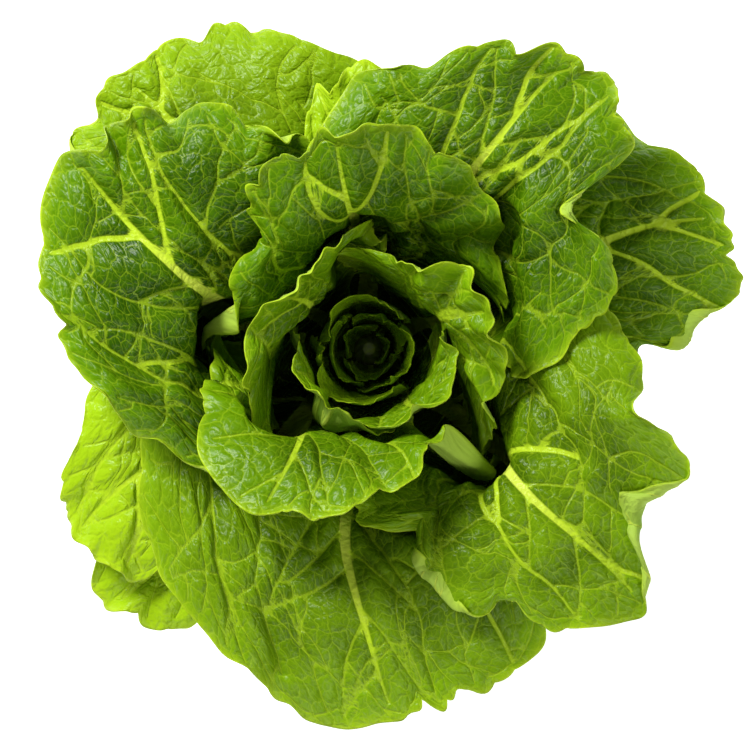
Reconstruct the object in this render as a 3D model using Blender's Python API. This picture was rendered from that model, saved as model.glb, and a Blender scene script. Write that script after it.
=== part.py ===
"""A romaine lettuce head standing on its cut stem, built leaf by leaf.

Every leaf lies on a chart of the head. A chart point is (level, run, azimuth): azimuth turns round the
head's axis, run is the length in millimetres up a leaf from where it leaves the stem, and level says how
far open the leaf stands, from 0 in the closed heart to 1 on the outermost leaf. Two leaves on different
levels never cross, so a leaf is laid against those inside it by raising its level where they are in the way.
Leaves are sized in millimetres and degrees, and the meshes are in metres.
"""

import math
from typing import NamedTuple

import bpy
import numpy as np

MM = 0.001

# The stem core, from its flat cut butt up to the growing point.
BUTT_RADIUS = 27.0
BUTT_BEVEL = 2.0
CORE_HEIGHT = 84.0
CORE_TIP_RADIUS = 3.0
CORE_SEGMENTS = 32
CORE_CLEARANCE = 0.6

# Where leaves leave the core: the outermost low and wide, the innermost high and narrow.
LOWEST_BASE = 7.0
HIGHEST_BASE = 78.0

# The chart's reach.
LEVEL_LOW, LEVEL_HIGH, LEVEL_STEPS = -0.3, 1.6, 381
RUN_END, RUN_STEPS = 280.0, 561

# Blade and rib thickness, and the least gap kept between two leaves.
BLADE = 1.1
RIB = 3.6
RIB_HALF_WIDTH = 8.0
LEAF_GAP = 1.3

# The cells on which leaves are laid against each other, and how many of a leaf's own cells a push spreads.
CELLS_RUN, CELLS_TURN = 140, 240
LATTICE = 72
SPREAD = 4

GOLDEN_ANGLE = 137.508


class Leaf(NamedTuple):
    """One leaf. Half-widths are at its widest, and left is the counterclockwise side seen from above."""

    name: str
    azimuth: float  # of its base, degrees
    veer: float  # how far the tip has turned from the base, degrees
    level: float
    length: float  # base to tip along the midrib, mm
    left: float
    right: float
    crown: float  # how far the top margin falls away to its sides, as a share of the length
    cup: float  # how far the side margins stand outwards of the midrib, mm; negative folds them in
    tilt: float  # how far the left margin stands outwards and the right one inwards, mm
    droop: float  # how far the tip hangs outwards of its level, mm; negative holds it in
    roll: float  # how far the margin rolls outwards, mm
    wave: float  # height of the margin's long waves, mm
    waves: float  # how many of them run round the margin
    phase: float  # where they start, degrees


OPEN_LEAVES = [
    Leaf("inner_leaf_1", 310, 0, 0.34, 120, 32, 32, 0.25, 0, 0, 0, 8, 2.0, 5, 40),
    Leaf("inner_leaf_2", 238, 0, 0.35, 116, 34, 34, 0.25, 5, 0, 0, 3, 2.0, 6, 200),
    Leaf("inner_leaf_3", 28, -14, 0.43, 140, 46, 34, 0.2, 10, -10, 2, 10, 3.0, 5, 90),
    Leaf("inner_leaf_4", 146, 6, 0.44, 140, 60, 44, 0.18, 16, 6, 0, 6, 3.0, 6, 10),
    Leaf("crown_leaf_1", 224, 12, 0.57, 168, 66, 36, 0.22, 0, -16, 8, 8, 3.0, 5, 150),
    Leaf("crown_leaf_2", 92, 6, 0.61, 172, 66, 62, 0.26, 4, -6, 6, 8, 4.0, 5, 300),
    Leaf("middle_leaf_1", 65, -12, 0.7, 212, 68, 80, 0.18, 2, 0, 2, 2, 4.5, 6, 120),
    Leaf("middle_leaf_2", 168, -20, 0.73, 210, 88, 76, 0.2, 0, 0, 0, 2, 4.0, 6, 0),
    Leaf("middle_leaf_3", -38, -5, 0.76, 212, 84, 68, 0.24, 2, 0, 2, 2, 4.0, 5, 60),
    Leaf("outer_leaf_1", 92, 0, 0.82, 170, 36, 36, 0.35, 0, 0, 0, 0, 2.0, 5, 30),
    Leaf("outer_leaf_2", -100, 14, 0.84, 206, 92, 112, 0.17, 2, 0, 2, 2, 4.0, 6, 200),
    Leaf("outer_leaf_3", 200, 14, 0.87, 188, 58, 58, 0.24, 4, 0, 2, 2, 3.0, 5, 80),
    Leaf("outer_leaf_4", 32, -12, 0.89, 204, 66, 66, 0.2, 4, 0, 4, 3, 5.0, 5, 240),
    Leaf("outer_leaf_5", 131, 2, 0.93, 200, 96, 92, 0.24, 2, 0, 0, 2, 4.0, 7, 310),
    Leaf("outer_leaf_6", 224, 2, 0.97, 190, 46, 46, 0.3, 2, 0, 2, 0, 3.0, 5, 20),
    Leaf("outer_leaf_7", -30, 0, 1.0, 140, 56, 56, 0.3, 2, 0, 0, 0, 3.0, 5, 140),
    Leaf("outer_leaf_8", 172, 0, 1.02, 132, 52, 52, 0.3, 2, 0, 0, 0, 3.0, 5, 250),
]

HEART_LEAVES = 8
HEART_LEVELS = (0.02, 0.28)
HEART_LENGTHS = (24.0, 84.0)
HEART_WIDTHS = (9.0, 26.0)


def heart_leaves():
    """The closed leaves of the heart, longer and wider outwards, a golden angle apart."""
    share = np.linspace(0, 1, HEART_LEAVES)
    level = HEART_LEVELS[0] + (HEART_LEVELS[1] - HEART_LEVELS[0]) * share
    length = HEART_LENGTHS[0] + (HEART_LENGTHS[1] - HEART_LENGTHS[0]) * share
    width = HEART_WIDTHS[0] + (HEART_WIDTHS[1] - HEART_WIDTHS[0]) * share
    return [
        Leaf(f"heart_leaf_{i + 1}", (i * GOLDEN_ANGLE) % 360, 0, level[i], length[i], width[i], width[i],
             0.2, -1.0, 0, 0, 2 * share[i], 1.0 + share[i], 5, 70.0 * i)
        for i in range(HEART_LEAVES)
    ]


# ---------------------------------------------------------------- the chart


def ease(x):
    """0 below 0, 1 above 1, and a smooth climb between."""
    x = np.clip(x, 0, 1)
    return x * x * (3 - 2 * x)


def lean(level, run):
    """A leaf's lean from upright, in radians: it leaves the stem outwards, stands up, then flares."""
    leaving = (12 + 46 * level) * np.exp(-run / 28)
    standing = -2 + 16 * level * level
    flare = (-12 + 100 * ease((level - 0.38) / 0.37)) * ease((run - 105 + 35 * level) / 110)
    return np.radians(leaving + standing + flare)


def base_point(level):
    """(radius, height) where a leaf of this level leaves the core."""
    height = HIGHEST_BASE + (LOWEST_BASE - HIGHEST_BASE) * level
    radius = BUTT_RADIUS + (CORE_TIP_RADIUS - BUTT_RADIUS) * height / CORE_HEIGHT
    return radius + CORE_CLEARANCE, height


class Chart:
    """Radius and height for every level and run: the lean summed up along the run."""

    def __init__(self):
        self.levels = np.linspace(LEVEL_LOW, LEVEL_HIGH, LEVEL_STEPS)[:, None]
        self.runs = np.linspace(0, RUN_END, RUN_STEPS)[None, :]
        step = RUN_END / (RUN_STEPS - 1)
        angle = lean(self.levels, self.runs)
        radius, height = base_point(self.levels)
        self.radius = radius + (np.cumsum(np.sin(angle), 1) - np.sin(angle) / 2) * step
        self.height = height + (np.cumsum(np.cos(angle), 1) - np.cos(angle) / 2) * step
        out, down = (np.gradient(grid, self.levels[:, 0], axis=0) for grid in (self.radius, self.height))
        self.spacing = np.maximum(out * np.cos(angle) - down * np.sin(angle), 1.0)

    def read(self, grid, level, run):
        """One of the chart's grids at these levels and runs, by straight interpolation."""
        return sample(
            grid,
            (level - LEVEL_LOW) / (LEVEL_HIGH - LEVEL_LOW) * (LEVEL_STEPS - 1),
            run / RUN_END * (RUN_STEPS - 1),
        )


def sample(grid, row, column):
    """A grid between its points, straight in each direction and held at its edges."""
    row = np.clip(row, 0, grid.shape[0] - 1.001)
    column = np.clip(column, 0, grid.shape[1] - 1.001)
    i, j = row.astype(int), column.astype(int)
    a, b = row - i, column - j
    return (
        grid[i, j] * (1 - a) * (1 - b)
        + grid[i + 1, j] * a * (1 - b)
        + grid[i, j + 1] * (1 - a) * b
        + grid[i + 1, j + 1] * a * b
    )


CHART = Chart()


# ---------------------------------------------------------------- one leaf on the chart


def outline(leaf, up, across):
    """(offset, run) in mm of a leaf's flat shape: narrow at the base, widest at three quarters, round on top."""
    base_half = 1.05 * base_point(leaf.level)[0]
    half = (leaf.left + leaf.right) / 2
    widening = ease((up - 0.1) / 0.7)
    width = (base_half + (half - base_half) * widening) * (1 - 0.12 * ease((up - 0.75) / 0.5))
    skew = (leaf.left - leaf.right) / 2 * widening
    offset = width * across + skew * across**2
    run = leaf.length * up * (1 - leaf.crown * np.abs(across) ** 2.4 * up)
    return offset, run


def margin_nearness(up, across):
    """1 at the blade's margin, falling to 0 inwards and towards the base."""
    return (1 - (1 - np.abs(across) ** 5) * (1 - up**9)) * ease((up - 0.3) / 0.35)


def margin_wave(leaf, offset, run, up, across):
    """The long waves of the margin in mm, turning round the blade's middle and dying out inwards."""
    turn = np.arctan2(offset, run - 0.62 * leaf.length)
    return leaf.wave * margin_nearness(up, across) * np.sin(leaf.waves * turn + math.radians(leaf.phase))


def place(leaf, up, across):
    """(level, run, azimuth in degrees) of a leaf before anything pushes it."""
    offset, run = outline(leaf, up, across)
    radius = CHART.read(CHART.radius, leaf.level, run)
    azimuth = leaf.azimuth + leaf.veer * (run / leaf.length) ** 2 + np.degrees(offset / radius)
    shift = (leaf.cup * across**2 + leaf.tilt * across) * ease(up / 0.6) + leaf.droop * up**4
    shift = shift + margin_wave(leaf, offset, run, up, across) + leaf.roll * margin_nearness(up, across)
    return leaf.level + shift / CHART.read(CHART.spacing, leaf.level, run), run, azimuth


def thickness(leaf, up, across):
    """The leaf's thickness in mm: a thin blade, and a rib that fades out towards the tip."""
    size = min(1.0, leaf.length / 180)
    offset, _ = outline(leaf, up, across)
    rib = RIB * size * ease(up / 0.08) * (1 - ease((up - 0.1) / 0.75))
    half = RIB_HALF_WIDTH * size * (1.1 - up)
    return BLADE + rib * np.exp(-((offset / half) ** 2))


def soften(grid, times):
    """The grid with each point averaged with its neighbours, this many times."""
    for _ in range(times):
        edge = np.pad(grid, 1, mode="edge")
        grid = (edge[:-2, 1:-1] + edge[2:, 1:-1] + edge[1:-1, :-2] + edge[1:-1, 2:] + 2 * grid) / 6
    return grid


def widen(grid, cells, around):
    """The highest value within this many cells, going round in azimuth or stopping at the sides."""
    for _ in range(cells):
        sides = np.pad(grid, ((0, 0), (1, 1)), mode="wrap" if around else "edge")
        grid = np.maximum(grid, np.maximum(sides[:, :-2], sides[:, 2:]))
        ends = np.pad(grid, ((1, 1), (0, 0)), mode="edge")
        grid = np.maximum(grid, np.maximum(ends[:-2], ends[2:]))
    return grid


class Nest:
    """The leaves laid so far, as the level up to which every cell of (run, azimuth) is taken."""

    def __init__(self):
        self.taken = np.full((CELLS_RUN, CELLS_TURN), LEVEL_LOW)

    def cells(self, run, azimuth):
        return run / RUN_END * (CELLS_RUN - 1), (azimuth % 360) / 360 * CELLS_TURN

    def push(self, leaf):
        """How far each lattice point of a leaf has to rise in level to lie on the leaves inside it."""
        up, across = lattice(LATTICE, LATTICE)
        level, run, azimuth = place(leaf, up, across)
        row, column = self.cells(run, azimuth)
        taken = widen(self.taken, 2, True)
        rise = sample(np.concatenate([taken, taken[:, :1]], 1), row, column) - level
        return soften(widen(np.maximum(rise, 0), SPREAD, False), SPREAD**2)

    def add(self, leaf, pushed):
        """Marks the cells that a leaf fills, out to its outer face and the gap."""
        up, across = lattice(3 * LATTICE, 3 * LATTICE)
        level, run, azimuth = laid(leaf, pushed, up, across)
        filled = level + (thickness(leaf, up, across) + LEAF_GAP) / CHART.read(CHART.spacing, level, run)
        row, column = self.cells(run, azimuth)
        np.maximum.at(self.taken, (np.rint(row).astype(int), np.rint(column).astype(int) % CELLS_TURN), filled)


def lattice(rows, columns):
    """Points of a leaf, evenly up from 0 to 1 and across from -1 to 1."""
    return np.meshgrid(np.linspace(0, 1, rows), np.linspace(-1, 1, columns), indexing="ij")


def laid(leaf, pushed, up, across):
    """(level, run, azimuth) of a leaf as it lies in the nest."""
    level, run, azimuth = place(leaf, up, across)
    rise = sample(pushed, up * (LATTICE - 1), (across + 1) / 2 * (LATTICE - 1))
    return level + rise, run, azimuth


def surface(leaf, pushed, up, across):
    """Points in metres on a leaf's inner face."""
    level, run, azimuth = laid(leaf, pushed, up, across)
    radius, height = CHART.read(CHART.radius, level, run), CHART.read(CHART.height, level, run)
    turn = np.radians(azimuth)
    return np.stack([radius * np.cos(turn), radius * np.sin(turn), height], -1) * MM


# ---------------------------------------------------------------- Blender objects


def material(name, colour, roughness):
    made = bpy.data.materials.new(name)
    made.use_nodes = True
    shader = made.node_tree.nodes["Principled BSDF"]
    shader.inputs["Base Color"].default_value = (*colour, 1)
    shader.inputs["Roughness"].default_value = roughness
    return made


def add_leaf(leaf, pushed, rows, columns, finish):
    """The leaf's inner face as a grid, thickened outwards by a Solidify that follows its thickness."""
    up, across = lattice(rows + 1, columns + 1)
    points = surface(leaf, pushed, up, across).reshape(-1, 3)
    corner = np.arange(rows * (columns + 1)).reshape(rows, columns + 1)[:, :-1].ravel()
    faces = np.stack([corner, corner + columns + 1, corner + columns + 2, corner + 1], 1)
    mesh = bpy.data.meshes.new(leaf.name)
    mesh.from_pydata(points.tolist(), [], faces.tolist())
    mesh.shade_smooth()
    mesh.materials.append(finish)
    made = bpy.data.objects.new(leaf.name, mesh)
    bpy.context.scene.collection.objects.link(made)
    depth = thickness(leaf, up, across).ravel() * MM
    group = made.vertex_groups.new(name="thickness")
    for index, share in enumerate(depth / depth.max()):
        group.add([index], float(share), "REPLACE")
    wall = made.modifiers.new("wall", "SOLIDIFY")
    wall.thickness = float(depth.max())
    wall.offset = -1
    wall.vertex_group = group.name
    return made


def add_core(finish):
    """The stem: a turned cone with a bevelled flat butt, standing on z = 0."""
    profile = [
        (0, CORE_HEIGHT),
        (CORE_TIP_RADIUS, CORE_HEIGHT),
        (BUTT_RADIUS - (BUTT_RADIUS - CORE_TIP_RADIUS) * BUTT_BEVEL / CORE_HEIGHT, BUTT_BEVEL),
        (BUTT_RADIUS - BUTT_BEVEL, 0),
        (0, 0),
    ]
    mesh = bpy.data.meshes.new("stem_core")
    mesh.from_pydata([(r * MM, 0, z * MM) for r, z in profile], [(i, i + 1) for i in range(len(profile) - 1)], [])
    mesh.materials.append(finish)
    made = bpy.data.objects.new("stem_core", mesh)
    bpy.context.scene.collection.objects.link(made)
    turn = made.modifiers.new("turn", "SCREW")
    turn.steps = turn.render_steps = CORE_SEGMENTS
    turn.use_merge_vertices = True
    turn.merge_threshold = 0.0001
    return made


def main():
    for old in list(bpy.data.objects):
        bpy.data.objects.remove(old)
    stem = material("stem", (0.78, 0.82, 0.55), 0.5)
    blade = material("leaf", (0.16, 0.36, 0.04), 0.4)
    heart = material("heart_leaf", (0.45, 0.60, 0.16), 0.4)
    add_core(stem)
    nest = Nest()
    for leaf in heart_leaves() + OPEN_LEAVES:
        pushed = nest.push(leaf)
        nest.add(leaf, pushed)
        rows, columns = (16, 14) if leaf.length > 150 else (12, 10) if leaf.length > 110 else (8, 6)
        add_leaf(leaf, pushed, rows, columns, heart if leaf.name.startswith("heart") else blade)


if __name__ == "__main__":
    main()
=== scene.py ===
"""The looks of a romaine lettuce head: crinkled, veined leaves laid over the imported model, and its stage.

A leaf lies on the chart that its solid was made on: (level, run, azimuth), where run is the length in
millimetres up the leaf, azimuth turns round the head, and level says how far open the leaf stands. Its sheet
is worked out on a grid of (up, across), its veins are grown on a flat map of the leaf and read onto that
grid, and it is laid on the leaves inside it. Lengths are in millimetres while a leaf is shaped, and in
metres in its mesh.
"""

import math
from typing import NamedTuple

import bpy
import numpy as np
from bpy.props import FloatProperty, FloatVectorProperty, PointerProperty
from bpy.types import Operator, Panel, PropertyGroup
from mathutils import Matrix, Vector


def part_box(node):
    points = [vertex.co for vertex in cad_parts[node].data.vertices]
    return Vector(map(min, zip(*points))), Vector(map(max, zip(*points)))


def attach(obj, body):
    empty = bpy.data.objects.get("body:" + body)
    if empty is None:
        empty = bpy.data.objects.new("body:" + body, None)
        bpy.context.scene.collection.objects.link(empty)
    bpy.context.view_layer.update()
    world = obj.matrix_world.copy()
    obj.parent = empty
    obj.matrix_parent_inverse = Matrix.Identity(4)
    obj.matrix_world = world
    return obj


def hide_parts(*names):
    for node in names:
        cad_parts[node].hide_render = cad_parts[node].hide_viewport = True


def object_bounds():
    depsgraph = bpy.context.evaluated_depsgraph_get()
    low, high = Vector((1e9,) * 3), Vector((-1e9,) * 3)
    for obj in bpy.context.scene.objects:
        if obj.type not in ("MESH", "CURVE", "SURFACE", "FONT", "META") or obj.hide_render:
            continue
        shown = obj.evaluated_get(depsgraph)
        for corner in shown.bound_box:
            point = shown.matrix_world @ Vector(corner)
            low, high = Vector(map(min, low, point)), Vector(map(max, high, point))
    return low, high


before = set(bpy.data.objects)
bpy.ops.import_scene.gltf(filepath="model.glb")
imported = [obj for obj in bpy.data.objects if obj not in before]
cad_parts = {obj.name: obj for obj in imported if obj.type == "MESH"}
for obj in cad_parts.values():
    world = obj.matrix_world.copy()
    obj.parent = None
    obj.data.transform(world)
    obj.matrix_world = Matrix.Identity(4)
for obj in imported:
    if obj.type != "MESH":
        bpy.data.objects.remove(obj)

bl_info = {
    "name": "Romaine Lettuce Head",
    "version": (1, 0, 0),
    "blender": (4, 5, 0),
    "location": "View3D > Sidebar > Lettuce",
    "description": "Builds the leaves, stem and stage of a romaine lettuce head",
    "category": "Add Mesh",
}

MM = 0.001
CAD_BOX = [list(corner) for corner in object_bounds()]
CORE_LOW, CORE_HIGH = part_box("stem_core")

# The chart, as the solids have it.
BUTT_RADIUS = 27.0
CORE_HEIGHT = CORE_HIGH.z / MM
CORE_TIP_RADIUS = 3.0
CORE_CLEARANCE = 0.6
LOWEST_BASE = 7.0
HIGHEST_BASE = 78.0
LEVEL_LOW, LEVEL_HIGH, LEVEL_STEPS = -0.3, 1.6, 381
RUN_END, RUN_STEPS = 280.0, 561

# The cells on which leaves are laid against each other, and a leaf's own cells while that is done.
CELLS_RUN, CELLS_TURN = 281, 720
LATTICE = 120
LEAF_GAP = 0.5
PUSH_SPREAD, PUSH_SOFTENING = 4, 14  # cells that a leaf's push is widened by, and how often it is softened

GOLDEN_ANGLE = 137.508
MARGIN_CENTRE = 0.58  # the share of its length at which a leaf's margin turns round the blade's middle
FULL_LENGTH = 190.0  # from this length on, a leaf's veins and relief have their full size, mm
FULL_RIB_LENGTH = 180.0  # and its ribs from this length on, mm
NOISE_APART = 3600  # what a leaf's level moves its place in the noise by, mm
MOST_STRAY = 0.06  # how far a leaf's mean point may lie from the middle of its solid's box, m

# The stage: lengths in metres, apart from the lens and sensor, which are in mm.
FLOOR_REACH, FLOOR_GLOW = 6.0, 0.7
KEY_PLACE, KEY_SIZE = (-0.75, 0.85, 1.05), 0.45
FILL_PLACES, FILL_SIZE = {"fill_right": (1.1, -0.2, 0.9), "fill_front": (-0.2, -1.1, 0.9)}, 0.8
CAMERA_X, CAMERA_Y, LENS, SENSOR = 0.003, -0.012, 105, 36


class Leaf(NamedTuple):
    """One leaf. Half-widths are at its widest, and left is the counterclockwise side seen from above."""

    name: str
    azimuth: float  # of its base, degrees
    veer: float  # how far the tip has turned from the base, degrees
    level: float
    length: float  # base to tip along the midrib, mm
    left: float
    right: float
    crown: float  # how far the top margin falls away to its sides, as a share of the length
    cup: float  # how far the side margins stand outwards of the midrib, mm; negative folds them in
    tilt: float  # how far the left margin stands outwards and the right one inwards, mm
    droop: float  # how far the tip hangs outwards of its level, mm; negative holds it in
    roll: float  # how far the margin's last 30 mm roll outwards, mm
    wave: float  # height of the margin's long waves, mm
    waves: float  # how many of them run round the margin
    phase: float  # where they start, degrees
    pale: float = 0.0  # 0 for deep green, 1 for pale yellow-green
    notches: tuple = ()  # (degrees round the margin from the tip, width in degrees, depth as a share)
    folds: tuple = ()  # (degrees round the margin, width in degrees, strip folded over in mm)
    grid: tuple = (190, 180)


SMALL, MEDIUM = (96, 90), (130, 120)
LEAVES = {
    "inner": [
        Leaf("inner_leaf_1", 310, 0, 0.34, 120, 32, 32, 0.25, 0, 0, 0, 8, 2.0, 5, 40, 0.15, grid=MEDIUM),
        Leaf("inner_leaf_2", 238, 0, 0.35, 116, 34, 34, 0.25, 5, 0, 0, 3, 2.0, 6, 200, 0.15, grid=SMALL),
        Leaf("inner_leaf_3", 28, -14, 0.43, 140, 46, 34, 0.2, 10, -10, 2, 10, 3.0, 5, 90, 0.15,
             ((40, 9, 0.06), (-20, 8, 0.07)), grid=MEDIUM),
        Leaf("inner_leaf_4", 146, 6, 0.44, 140, 42, 36, 0.18, 16, 6, 0, 6, 3.0, 6, 10, 0.1,
             ((14, 8, 0.06),), grid=MEDIUM),
    ],
    "crown": [
        Leaf("crown_leaf_1", 224, 12, 0.57, 168, 66, 36, 0.22, 0, -16, 8, 8, 3.0, 5, 150, 0.08),
        Leaf("crown_leaf_2", 92, 6, 0.61, 172, 66, 62, 0.26, 4, -6, 6, 8, 4.0, 5, 300, 0.0,
             ((46, 8, 0.11), (12, 6, 0.04), (-62, 7, 0.07))),
    ],
    "middle": [
        Leaf("middle_leaf_1", 65, -12, 0.7, 212, 68, 80, 0.18, 2, 0, 2, 2, 4.5, 6, 120, 0.02,
             ((-40, 9, 0.16), (36, 5, 0.05), (14, 4, 0.03))),
        Leaf("middle_leaf_2", 168, -20, 0.73, 210, 88, 76, 0.2, 0, 0, 0, 2, 4.0, 6, 0, 0.0,
             ((-8, 4, 0.03), (-34, 5, 0.06), (92, 7, 0.09), (66, 5, 0.04)), ((80, 9, 9), (-118, 16, 9))),
        Leaf("middle_leaf_3", -38, -5, 0.76, 212, 84, 68, 0.24, 2, 0, 2, 2, 4.0, 5, 60, 0.25,
             ((48, 6, 0.05), (22, 26, -0.04), (-34, 6, 0.07), (-75, 10, 0.1)), ((16, 13, 21), (-58, 11, 12))),
    ],
    "outer": [
        Leaf("outer_leaf_1", 92, 0, 0.82, 170, 36, 36, 0.35, 0, 0, 0, 0, 2.0, 5, 30, 0.9, grid=SMALL),
        Leaf("outer_leaf_2", -100, 14, 0.84, 206, 92, 112, 0.17, 2, 0, 2, 2, 4.0, 6, 200, 0.28,
             ((58, 7, 0.06), (20, 4, 0.04))),
        Leaf("outer_leaf_3", 200, 14, 0.87, 188, 58, 58, 0.24, 4, 0, 2, 2, 3.0, 5, 80, 0.95, grid=(150, 130)),
        Leaf("outer_leaf_4", 32, -12, 0.89, 204, 66, 66, 0.2, 4, 0, 4, 3, 5.0, 5, 240, 0.05,
             ((30, 8, 0.05), (-52, 6, 0.10)), ((-38, 9, 12),), grid=(160, 150)),
        Leaf("outer_leaf_5", 131, 2, 0.93, 200, 96, 92, 0.24, 2, 0, 0, 2, 4.0, 7, 310, 0.45,
             ((14, 5, 0.05), (-26, 5, 0.04)), ((34, 9, 16),)),
        Leaf("outer_leaf_6", 224, 2, 0.97, 190, 46, 46, 0.3, 2, 0, 2, 0, 3.0, 5, 20, 0.9, grid=MEDIUM),
        Leaf("outer_leaf_7", -30, 0, 1.0, 140, 56, 56, 0.3, 2, 0, 0, 0, 3.0, 5, 140, 0.8, grid=SMALL),
        Leaf("outer_leaf_8", 172, 0, 1.02, 132, 52, 52, 0.3, 2, 0, 0, 0, 3.0, 5, 250, 0.8, grid=SMALL),
    ],
}

HEART_LEAVES = 8
HEART_LEVELS = (0.02, 0.28)
HEART_LENGTHS = (24.0, 84.0)
HEART_WIDTHS = (9.0, 26.0)


def heart_leaves():
    """The closed leaves of the heart, longer and wider outwards, a golden angle apart."""
    share = np.linspace(0, 1, HEART_LEAVES)
    ranges = (HEART_LEVELS, HEART_LENGTHS, HEART_WIDTHS)
    level, length, width = (low + (high - low) * share for low, high in ranges)
    return [
        Leaf(f"heart_leaf_{i + 1}", (i * GOLDEN_ANGLE) % 360, 0, level[i], length[i], width[i], width[i],
             0.2, -1.0, 0, 0, 2 * share[i], 1.0 + share[i], 5, 70.0 * i, 0.5, grid=(70, 60))
        for i in range(HEART_LEAVES)
    ]


LEAVES["heart"] = heart_leaves()


# -------- sizes and colours


def length(name, description, default, high):
    """A length in metres."""
    return FloatProperty(name=name, description=description, default=default, min=0, max=high, unit="LENGTH")


def colour(name, description, default):
    """A linear colour."""
    return FloatVectorProperty(name=name, description=description, default=default, min=0, max=1, size=3,
                               subtype="COLOR")


def share(name, description, default):
    """A number from 0 to 1."""
    return FloatProperty(name=name, description=description, default=default, min=0, max=1, subtype="FACTOR")


def power(name, description, default):
    """The power of a light in watts."""
    return FloatProperty(name=name, description=description, default=default, min=0, unit="POWER")


class LettuceSizes(PropertyGroup):
    """Sizes of the leaves' relief."""

    blade: length("Blade", "Thickness of the blade away from its ribs", 0.0008, 0.003)
    rim: length("Rim", "Thickness at the margin", 0.0004, 0.003)
    rib: length("Rib", "How far the midrib stands out of the underside near the base", 0.0034, 0.01)
    vein_gap: length("Vein gap", "Distance between side veins on one side of the midrib", 0.021, 0.05)
    blister: length("Blister", "How far the blade bulges between its veins", 0.0021, 0.005)
    quilt: length("Quilt", "How far the blade bulges between its side veins", 0.0034, 0.01)
    rumple: length("Rumple", "How far the blade rises and falls in broad folds", 0.0052, 0.02)
    frill: length("Frill", "Height of the margin's short ruffles", 0.0026, 0.006)
    lobe: length("Lobe", "Depth of the margin's broad lobes", 0.0060, 0.02)
    tooth: length("Tooth", "Depth of the margin's small lobes", 0.0017, 0.005)
    fold: length("Fold", "Radius of a margin folded over", 0.0022, 0.01)


class LettuceColours(PropertyGroup):
    """Colours of the leaves and stem."""

    # Deep green is also what the blade darkens to in the painted shade towards its base.
    deep: colour("Deep green", "The blade of the greenest leaves", (0.024, 0.078, 0.0003))
    # Fresh green is also what the blade lightens to near the margin, partly painted light.
    fresh: colour("Fresh green", "The blade where it is lighter", (0.112, 0.262, 0.0006))
    pale: colour("Pale green", "The blade of the palest leaves", (0.340, 0.560, 0.006))
    vein: colour("Vein", "Veins and midrib on the inner face", (0.480, 0.680, 0.022))
    # The margin colour is partly a painted glow of light through the thin edge.
    margin: colour("Margin", "The thin edge of a leaf", (0.520, 0.720, 0.020))
    under: colour("Underside", "The outer face of a leaf", (0.420, 0.600, 0.080))
    rib: colour("Rib", "The thick base of the midrib", (0.640, 0.760, 0.080))
    stem: colour("Stem", "The skin of the stem", (0.640, 0.700, 0.360))
    cut: colour("Cut face", "The trimmed butt", (0.520, 0.330, 0.130))


class LettuceStage(PropertyGroup):
    """The floor, lights and camera."""

    floor: share("Floor", "How light the floor is", 0.93)
    key: power("Key", "Power of the large soft light", 27.0)
    fill: power("Fill", "Power of each side light", 6.0)
    sky: share("Sky", "Strength of the even light from all round", 0.14)
    height: length("Camera height", "Height of the camera over the floor", 1.05, 5)


# -------- the chart


def ease(x):
    """0 below 0, 1 above 1, and a smooth climb between: x squared times (3 - 2x)."""
    x = np.clip(x, 0, 1)
    return x * x * (3 - 2 * x)


def lean(level, run):
    """A leaf's lean from upright, in radians: it leaves the stem outwards, stands up, then flares."""
    leaving = (12 + 46 * level) * np.exp(-run / 28)
    standing = -2 + 16 * level * level
    flare = (-12 + 100 * ease((level - 0.38) / 0.37)) * ease((run - 105 + 35 * level) / 110)
    return np.radians(leaving + standing + flare)


def base_point(level):
    """(radius, height) where a leaf of this level leaves the core, straight down the core's side."""
    height = HIGHEST_BASE + (LOWEST_BASE - HIGHEST_BASE) * level
    radius = BUTT_RADIUS + (CORE_TIP_RADIUS - BUTT_RADIUS) * height / CORE_HEIGHT
    return radius + CORE_CLEARANCE, height


def sample(grid, row, column):
    """A grid between its points, straight in each direction and held at its edges."""
    row = np.clip(row, 0, grid.shape[0] - 1.001)
    column = np.clip(column, 0, grid.shape[1] - 1.001)
    i, j = row.astype(int), column.astype(int)
    a, b = row - i, column - j
    return (
        grid[i, j] * (1 - a) * (1 - b)
        + grid[i + 1, j] * a * (1 - b)
        + grid[i, j + 1] * (1 - a) * b
        + grid[i + 1, j + 1] * a * b
    )


class Chart:
    """Radius and height for every level and run: the lean's sine and cosine summed along the run."""

    def __init__(self):
        self.levels = np.linspace(LEVEL_LOW, LEVEL_HIGH, LEVEL_STEPS)[:, None]
        self.runs = np.linspace(0, RUN_END, RUN_STEPS)[None, :]
        step = RUN_END / (RUN_STEPS - 1)
        angle = lean(self.levels, self.runs)
        radius, height = base_point(self.levels)
        self.radius = radius + (np.cumsum(np.sin(angle), 1) - np.sin(angle) / 2) * step
        self.height = height + (np.cumsum(np.cos(angle), 1) - np.cos(angle) / 2) * step
        out, down = (np.gradient(grid, self.levels[:, 0], axis=0) for grid in (self.radius, self.height))
        self.spacing = np.maximum(out * np.cos(angle) - down * np.sin(angle), 1.0)

    def read(self, grid, level, run):
        """One of the chart's grids at these levels and runs."""
        return sample(
            grid,
            (level - LEVEL_LOW) / (LEVEL_HIGH - LEVEL_LOW) * (LEVEL_STEPS - 1),
            run / RUN_END * (RUN_STEPS - 1),
        )


CHART = Chart()


# -------- fields on a leaf


def lattice(rows, columns):
    """Points of a leaf, evenly up from 0 to 1 and across from -1 to 1."""
    return np.meshgrid(np.linspace(0, 1, rows), np.linspace(-1, 1, columns), indexing="ij")


def scatter(seed, i, j):
    """A number from 0 to 1 for each whole (i, j): the fraction of a large multiple of a sine."""
    return np.modf(np.abs(np.sin(i * 127.1 + j * 311.7 + seed * 74.7) * 43758.5453))[0]


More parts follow.
